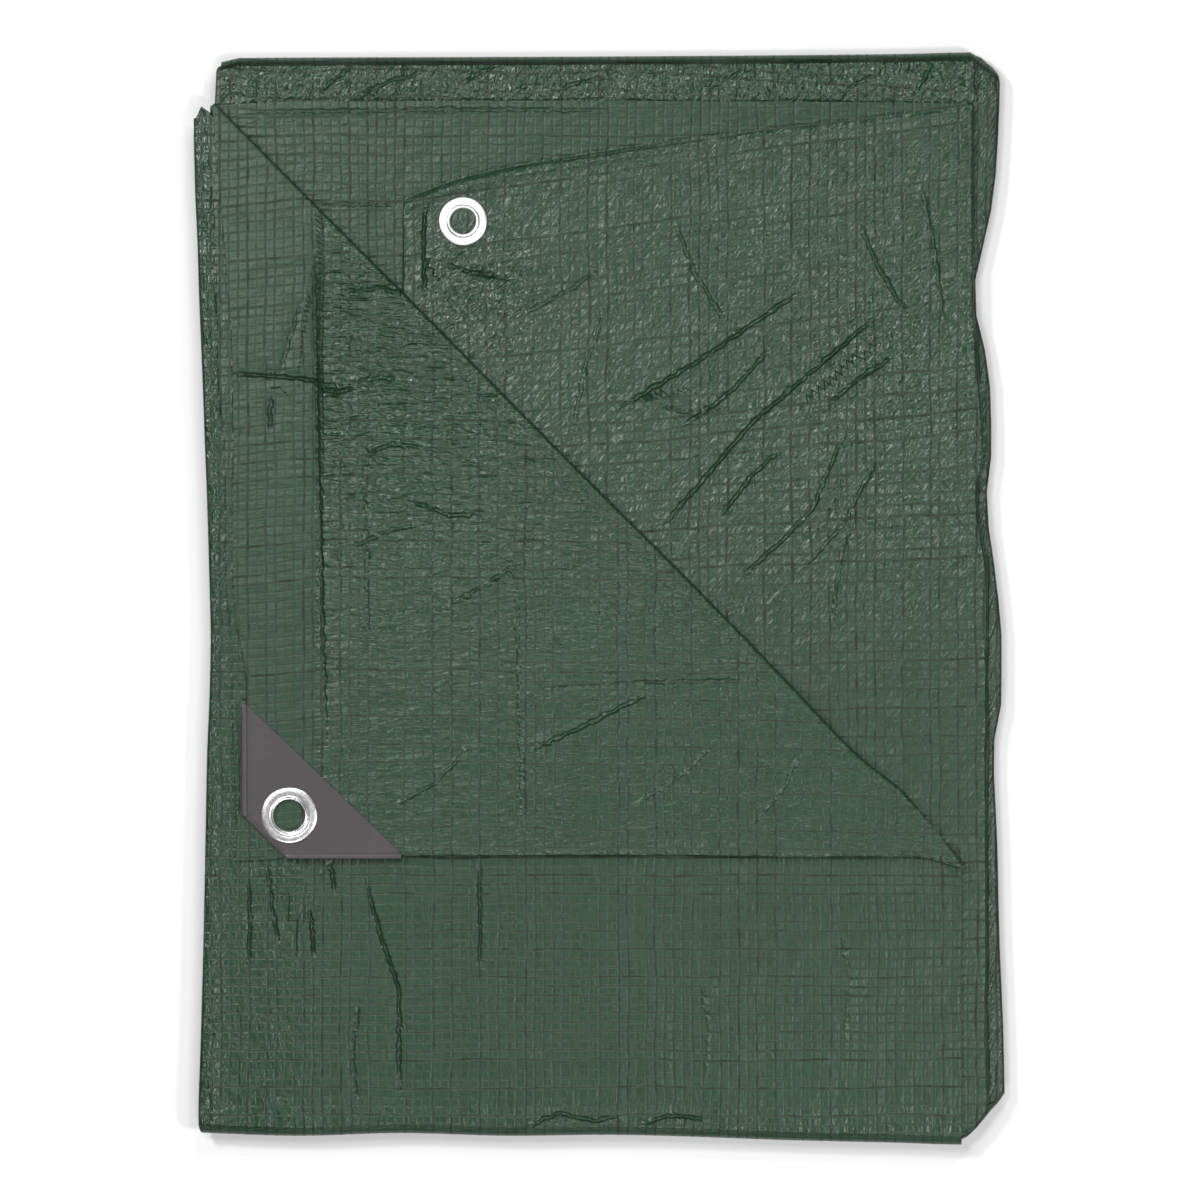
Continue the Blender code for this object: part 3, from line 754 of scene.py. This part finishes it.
# the corner patch

patch = {
    "left": -142.4,
    "right": -79.3,
    "bottom": -103.6,
    "top": -42.4,
    "slope": ((-141.5, -42.4), (-79.1, -102.4)),      # the long side
    "chamfer": ((-143.5, -86.0), (-124.3, -104.8)),   # the corner's own cut
    "plate": 0.7,
    "rimRadius": 0.65,
    "rimSteps": 6,
}


def makePatch(material):
    z = flapZ + 0.75
    centre = ((patch["left"] + patch["right"]) / 2 * mm, (patch["bottom"] + patch["top"]) / 2 * mm, z * mm)
    bpy.ops.object.select_all(action="DESELECT")
    bpy.ops.mesh.primitive_plane_add(size=1.0, location=centre)
    plate = bpy.context.object
    plate.name = "corner_patch_moulded"
    plate.scale = ((patch["right"] - patch["left"]) * mm, (patch["top"] - patch["bottom"]) * mm, 1.0)
    bpy.ops.object.transform_apply(location=True, rotation=True, scale=True)
    bpy.ops.object.mode_set(mode="EDIT")
    bpy.ops.mesh.select_all(action="SELECT")
    bpy.ops.mesh.subdivide(number_cuts=15)
    # each cut keeps what lies behind it
    for (ax, ay), (bx, by), way in ((*patch["slope"], 1.0), (*patch["chamfer"], -1.0)):
        normal = Vector((ay - by, bx - ax, 0.0)) * way
        bpy.ops.mesh.select_all(action="SELECT")
        spot = (ax * mm, ay * mm, z * mm)
        bpy.ops.mesh.bisect(plane_co=spot, plane_no=normal.normalized(), clear_outer=True)
    bpy.ops.object.mode_set(mode="OBJECT")
    # roll the left and bottom sides over, edge by edge
    for axis, at, way in ((0, patch["left"], (-1.0, 0.0)), (1, patch["bottom"], (0.0, -1.0))):
        for edge in plate.data.edges:
            spots = [plate.data.vertices[i].co[axis] for i in edge.vertices]
            edge.select = all(abs(spot - at * mm) < 0.01 * mm for spot in spots)
        for vertex in plate.data.vertices:
            vertex.select = abs(vertex.co[axis] - at * mm) < 0.01 * mm
        for face in plate.data.polygons:
            face.select = False
        bpy.ops.object.mode_set(mode="EDIT")
        bpy.ops.mesh.select_mode(type="EDGE")
        radius = patch["rimRadius"]
        outBefore, upBefore = 0.0, 0.0
        for step in range(1, patch["rimSteps"] + 1):
            angle = math.pi * step / patch["rimSteps"]
            out, up = radius * math.sin(angle), radius * (1 - math.cos(angle))
            shift = ((out - outBefore) * way[0] * mm, (out - outBefore) * way[1] * mm, (up - upBefore) * mm)
            bpy.ops.mesh.extrude_edges_move(TRANSFORM_OT_translate={"value": shift})
            outBefore, upBefore = out, up
        bpy.ops.mesh.extrude_edges_move(
            TRANSFORM_OT_translate={"value": (-way[0] * 1.2 * mm, -way[1] * 1.2 * mm, -0.25 * mm)})
        bpy.ops.mesh.select_mode(type="VERT")
        bpy.ops.object.mode_set(mode="OBJECT")
    # the eyelet's hole
    bpy.ops.mesh.primitive_cylinder_add(vertices=48, radius=7.3 * mm, depth=6 * mm,
                                        location=(cornerEyelet.x * mm, cornerEyelet.y * mm, z * mm))
    punch = bpy.context.object
    bpy.ops.object.select_all(action="DESELECT")
    plate.select_set(True)
    bpy.context.view_layer.objects.active = plate
    for kind, settings in (
        ("SOLIDIFY", {"thickness": patch["plate"] * mm * 0.6, "offset": 0.0}),
        ("BOOLEAN", {"operation": "DIFFERENCE", "object": punch}),
        ("BEVEL", {"width": 0.15 * mm, "segments": 2, "limit_method": "ANGLE"}),
    ):
        modifier = plate.modifiers.new(kind.lower(), kind)
        for key, value in settings.items():
            setattr(modifier, key, value)
        bpy.ops.object.modifier_apply(modifier=modifier.name)
    bpy.data.objects.remove(punch, do_unlink=True)
    bpy.ops.object.shade_smooth_by_angle(angle=math.radians(40))
    plate.data.materials.append(material)
    return plate


# materials

def linear(code):
    # sRGB hex to linear
    channels = [int(code[i:i + 2], 16) / 255 for i in (0, 2, 4)]
    return (*[c / 12.92 if c <= 0.04045 else ((c + 0.055) / 1.055) ** 2.4 for c in channels], 1.0)


def put(tree, kind, inputs=None, out=0, **settings):
    # one node with its settings; an input is a plain value or another node's socket
    node = tree.nodes.new("ShaderNode" + kind)
    for name, value in settings.items():
        setattr(node, name, value)
    for name, value in (inputs or {}).items():
        if isinstance(value, bpy.types.NodeSocket):
            tree.links.new(value, node.inputs[name])
        else:
            node.inputs[name].default_value = value
    return node.outputs[out]


def newMaterial(name):
    material = bpy.data.materials.new(name)
    material.use_nodes = True
    return material, material.node_tree, material.node_tree.nodes["Principled BSDF"]


def wovenPolyethylene():
    # Flat green tapes woven plain and laminated both sides with clear film: each crossing
    #  shows as a small square, the gaps as olive lines, and the film carries the shine, with a grey-green
    #  painted sheen also mixed into the tapes' colour.
    look = {
        "tape": 3.7,         # mm from one tape to the next
        "body": "1a4726",
        "bodyDark": "0e311a",
        "paintedSheen": "2a4435",    # painted sheen: the film's grey-green reflection over a flat tape
        "gap": "111a04",
        "paintedFoldShade": "10200f",   # painted shade down in a fold
    }
    material, tree, shader = newMaterial("wovenPolyethylene")
    cells = put(tree, "UVMap", out="UV", uv_map="clothMap")
    cells = put(tree, "Mapping", {"Vector": cells, "Scale": (1 / (look["tape"] * mm),) * 2 + (1.0,)})
    drift = put(tree, "TexNoise", {"Vector": cells, "Scale": 0.12, "Detail": 2.0}, out="Color")
    drift = put(tree, "VectorMath", {0: drift, 1: (0.5, 0.5, 0.5)}, operation="SUBTRACT")
    drift = put(tree, "VectorMath", {0: drift, 3: 0.9}, operation="SCALE")
    cells = put(tree, "VectorMath", {0: cells, 1: drift}, operation="ADD")
    shred = put(tree, "TexNoise", {"Vector": cells, "Scale": 0.55, "Detail": 3.0, "Roughness": 0.6})

    gaps = []
    shades = []
    for axis in ("X", "Y"):
        across = put(tree, "SeparateXYZ", {0: cells}, out=axis)
        # how near a gap, 0 at it and 0.5 in the tape's middle
        near = put(tree, "Math", {0: across, 1: 0.5}, operation="PINGPONG")
        number = put(tree, "Math", {0: across}, operation="ROUND")
        own = put(tree, "TexWhiteNoise", {"W": number}, noise_dimensions="1D")
        line = put(tree, "MapRange", {
            "Value": near, "From Min": 0.03, "From Max": 0.19, "To Min": 1.0, "To Max": 0.0,
        }, interpolation_type="SMOOTHSTEP")
        force = put(tree, "MapRange", {"Value": own, "To Min": 0.25, "To Max": 1.0})
        gaps.append(put(tree, "Math", {0: line, 1: force}, operation="MULTIPLY"))
        tapeNumber = put(tree, "Math", {0: across}, operation="FLOOR")
        shades.append(put(tree, "TexWhiteNoise", {"W": tapeNumber}, noise_dimensions="1D"))
    anyGap = put(tree, "Math", {0: gaps[0], 1: gaps[1]}, operation="MAXIMUM")
    patchy = put(tree, "MapRange", {
        "Value": shred, "From Min": 0.32, "From Max": 0.62, "To Min": 0.35, "To Max": 1.0,
    })
    gap = put(tree, "Math", {0: anyGap, 1: patchy}, operation="MULTIPLY")
    shade = put(tree, "Math", {0: shades[0], 1: shades[1]}, operation="ADD")

    # hair lines of the tapes' own stretch, along both ways
    hairs = []
    for scale in ((5.0, 0.5, 1.0), (0.5, 5.0, 1.0)):
        stretched = put(tree, "Mapping", {"Vector": cells, "Scale": scale})
        hairs.append(put(tree, "TexNoise", {"Vector": stretched, "Scale": 1.0, "Detail": 2.0}))
    hair = put(tree, "Math", {0: hairs[0], 1: hairs[1]}, operation="ADD")

    # film wrinkles, stretched the way each ply is pulled
    shine = put(tree, "Attribute", out="Fac", attribute_name="shine")
    film = put(tree, "UVMap", out="UV", uv_map="filmMap")
    broad = put(tree, "TexNoise", {
        "Vector": film, "Scale": 0.55, "Detail": 3.0, "Roughness": 0.55, "Distortion": 0.6,
    })
    fine = put(tree, "TexNoise", {
        "Vector": film, "Scale": 1.5, "Detail": 2.0, "Roughness": 0.6, "Distortion": 0.4,
    })
    facets = put(tree, "TexVoronoi", {"Vector": film, "Scale": 0.8, "Randomness": 1.0}, out="Distance",
                 feature="DISTANCE_TO_EDGE")
    facets = put(tree, "MapRange", {"Value": facets, "From Max": 0.25, "To Min": 1.0, "To Max": 0.0},
                 interpolation_type="SMOOTHSTEP")

    # creases: three signed distances, drawn as sharp folds
    sides = put(tree, "Attribute", out="Vector", attribute_name="creaseSide")
    forces = put(tree, "Attribute", out="Vector", attribute_name="creaseForce")
    wander = put(tree, "TexNoise", {"Vector": cells, "Scale": 1.1, "Detail": 2.0})
    wander = put(tree, "MapRange", {"Value": wander, "To Min": -1.2, "To Max": 1.2})
    folds = None
    for axis in ("X", "Y", "Z"):
        side = put(tree, "SeparateXYZ", {0: sides}, out=axis)
        force = put(tree, "SeparateXYZ", {0: forces}, out=axis)
        side = put(tree, "Math", {0: side, 1: wander}, operation="ADD")
        away = put(tree, "Math", {0: side}, operation="ABSOLUTE")
        sharp = put(tree, "MapRange", {
            "Value": away, "From Min": 0.0, "From Max": 1.3, "To Min": 1.0, "To Max": 0.0,
        }, interpolation_type="SMOOTHSTEP")
        fold = put(tree, "Math", {0: sharp, 1: force}, operation="MULTIPLY")
        folds = fold if folds is None else put(tree, "Math", {0: folds, 1: fold}, operation="ADD")

    # colour, with painted sheen on the tapes and painted shade in the folds
    mood = put(tree, "TexNoise", {"Vector": cells, "Scale": 0.05, "Detail": 3.0})
    colour = put(tree, "Mix", {"Factor": mood, 6: linear(look["bodyDark"]), 7: linear(look["body"])}, out=2,
                 data_type="RGBA")
    # painted sheen: tapes lean at random toward the film's grey-green reflection
    paintedSheen = put(tree, "MapRange", {"Value": shade, "From Max": 2.0, "To Min": 0.05, "To Max": 0.75})
    colour = put(tree, "Mix", {"Factor": paintedSheen, 6: colour, 7: linear(look["paintedSheen"])}, out=2, data_type="RGBA")
    hairy = put(tree, "MapRange", {
        "Value": hair, "From Min": 0.75, "From Max": 1.25, "To Min": 0.72, "To Max": 1.2,
    })
    colour = put(tree, "VectorMath", {0: colour, 3: hairy}, operation="SCALE")
    gapShare = put(tree, "Math", {0: gap, 1: 0.95}, operation="MULTIPLY")
    colour = put(tree, "Mix", {
        "Factor": gapShare, 6: colour, 7: linear(look["gap"]),
    }, out=2, data_type="RGBA")
    # painted shade: the colour darkens down in the sinking folds
    paintedFoldShadeShare = put(tree, "MapRange", {
        "Value": folds, "From Min": 0.0, "From Max": -0.5, "To Min": 0.0, "To Max": 0.75,
    })
    colour = put(tree, "Mix", {"Factor": paintedFoldShadeShare, 6: colour, 7: linear(look["paintedFoldShade"])}, out=2, data_type="RGBA")
    tree.links.new(colour, shader.inputs["Base Color"])

    # relief, in millimetres
    height = put(tree, "Math", {0: gap, 1: -0.22}, operation="MULTIPLY")
    height = put(tree, "Math", {0: hair, 1: 0.05, 2: height}, operation="MULTIPLY_ADD")
    for source, size in ((broad, 2.6), (fine, 0.9), (facets, 0.30)):
        lively = put(tree, "Math", {0: shine, 1: size}, operation="MULTIPLY")
        height = put(tree, "Math", {0: source, 1: lively, 2: height}, operation="MULTIPLY_ADD")
    height = put(tree, "Math", {0: folds, 1: 1.6, 2: height}, operation="MULTIPLY_ADD")
    bump = put(tree, "Bump", {"Height": height, "Distance": mm, "Strength": 1.0})
    tree.links.new(bump, shader.inputs["Normal"])

    rough = put(tree, "MapRange", {"Value": shine, "To Min": 0.40, "To Max": 0.19})
    rough = put(tree, "Math", {0: gap, 1: 0.35, 2: rough}, operation="MULTIPLY_ADD")
    tree.links.new(rough, shader.inputs["Roughness"])
    shader.inputs["IOR"].default_value = 1.51
    return material


def mouldedPatch():
    # Soft grey-brown polyethylene, injection moulded: satin, with faint flow streaks.
    material, tree, shader = newMaterial("mouldedPolyethylene")
    place = put(tree, "TexCoord", out="Object")
    streak = put(tree, "Mapping", {"Vector": place, "Scale": (60.0, 400.0, 60.0)})
    streak = put(tree, "TexNoise", {"Vector": streak, "Scale": 1.0, "Detail": 3.0})
    cloud = put(tree, "TexNoise", {"Vector": place, "Scale": 45.0, "Detail": 2.0})
    colour = put(tree, "Mix", {
        "Factor": cloud, 6: linear("3b3639"), 7: linear("4a4346"),
    }, out=2, data_type="RGBA")
    tree.links.new(colour, shader.inputs["Base Color"])
    rough = put(tree, "MapRange", {"Value": streak, "To Min": 0.36, "To Max": 0.52})
    tree.links.new(rough, shader.inputs["Roughness"])
    bump = put(tree, "Bump", {"Height": streak, "Distance": 0.1 * mm, "Strength": 0.6})
    tree.links.new(bump, shader.inputs["Normal"])
    shader.inputs["IOR"].default_value = 1.51
    return material


def pressedAluminium(name, code, roughness):
    # Pressed and tumbled sheet aluminium: bright, with a fine random grain.
    material, tree, shader = newMaterial(name)
    place = put(tree, "TexCoord", out="Object")
    grain = put(tree, "TexNoise", {"Vector": place, "Scale": 900.0, "Detail": 2.0})
    colour = put(tree, "Mix", {
        "Factor": grain, 6: linear(code), 7: linear("f2f2f2"),
    }, out=2, data_type="RGBA")
    tree.links.new(colour, shader.inputs["Base Color"])
    rough = put(tree, "MapRange", {"Value": grain, "To Min": roughness - 0.06, "To Max": roughness + 0.08})
    tree.links.new(rough, shader.inputs["Roughness"])
    bump = put(tree, "Bump", {"Height": grain, "Distance": 0.03 * mm, "Strength": 0.5})
    tree.links.new(bump, shader.inputs["Normal"])
    shader.inputs["Metallic"].default_value = 1.0
    return material


# build

woven = wovenPolyethylene()
print("materials are made")

strip = sheetFrom("folded_cloth", [stripGrid()], woven, cloth["sheet"])
flap = cornerGrid()
turned = sheetFrom("turned_corner", [flap, rollGrid(flap), liningGrid(flap)], woven, cloth["sheet"])
hemCloth = sheetFrom("hem_cloth", [hemStripGrid()], woven, hemStrip["sheet"])
print("the cloth is folded")

patchPiece = makePatch(mouldedPatch())
cornerRing = makeEyelet(cornerEyelet, pressedAluminium("pressedAluminium", "b9b9bb", 0.32))
edgeRing = makeEyelet(edgeEyelet, pressedAluminium("tumbledAluminium", "e6e6e6", 0.45))
print("the patch and eyelets are made")

for piece, slot, nodes in (
    (strip, "woven_cloth", ["tarp_cloth"]),
    (turned, "woven_cloth", ["tarp_cloth"]),
    (hemCloth, "woven_cloth", ["hem_strip"]),
    (patchPiece, "patch_plastic", ["corner_patch"]),
    (cornerRing, cornerEyelet.slot, ["corner_eyelet"]),
    (edgeRing, edgeEyelet.slot, ["edge_eyelet"]),
):
    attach(piece, "root")
    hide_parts(*nodes)

# floor, light and camera

studio = {
    "floor": 4.0,
    "frameWidth": 0.48,      # what the camera takes in at the cloth
    "distance": 3.0,
    "sensor": 36.0,
    "focusHeight": 0.013,
    "aimX": 0.00014,
    "aimY": -0.00084,
}
bpy.ops.object.select_all(action="DESELECT")
bpy.ops.mesh.primitive_plane_add(size=studio["floor"], location=(0, 0, -0.0002))
floor = bpy.context.object
floor.name = "floor"
paper, paperTree, paperShader = newMaterial("paleFloor")
paperShader.inputs["Base Color"].default_value = linear("f4f4f4")
paperShader.inputs["Roughness"].default_value = 0.9
floor.data.materials.append(paper)

Lamp = namedtuple("Lamp", "name x y z size sizeY power")
lamps = [
    Lamp("high_left", -0.38, 0.34, 1.5, 0.26, 0.26, 4.5),
    Lamp("high_right", 0.46, -0.30, 1.5, 0.2, 0.2, 2.0),
    Lamp("left_box", -0.85, 0.55, 1.2, 0.25, 0.25, 10.0),
    Lamp("right_box", 0.9, -0.4, 1.2, 0.22, 0.22, 7.0),
    Lamp("far_strip", 0.2, 0.9, 1.1, 0.6, 0.12, 5.0),
    Lamp("near_strip", -0.1, -0.9, 1.1, 0.6, 0.12, 5.0),
]
for lamp in lamps:
    data = bpy.data.lights.new(lamp.name, "AREA")
    data.shape = "RECTANGLE"
    data.size, data.size_y, data.energy = lamp.size, lamp.sizeY, lamp.power
    light = bpy.data.objects.new(lamp.name, data)
    light.location = (lamp.x, lamp.y, lamp.z)
    light.rotation_euler = (-Vector(light.location)).to_track_quat("-Z", "Y").to_euler()
    bpy.context.scene.collection.objects.link(light)

world = bpy.data.worlds.new("paleRoom")
world.use_nodes = True
world.node_tree.nodes["Background"].inputs["Color"].default_value = linear("f2f4f6")
world.node_tree.nodes["Background"].inputs["Strength"].default_value = 0.10
bpy.context.scene.world = world
bpy.context.scene.view_settings.view_transform = "Standard"

cameraData = bpy.data.cameras.new("camera")
cameraData.sensor_width = studio["sensor"]
cameraData.lens = studio["sensor"] * (studio["distance"] - studio["focusHeight"]) / studio["frameWidth"]
camera = bpy.data.objects.new("camera", cameraData)
camera.location = (studio["aimX"], studio["aimY"], studio["distance"])
bpy.context.scene.collection.objects.link(camera)
bpy.context.scene.camera = camera
print("light and camera are set")

bpy.ops.object.select_all(action="DESELECT")
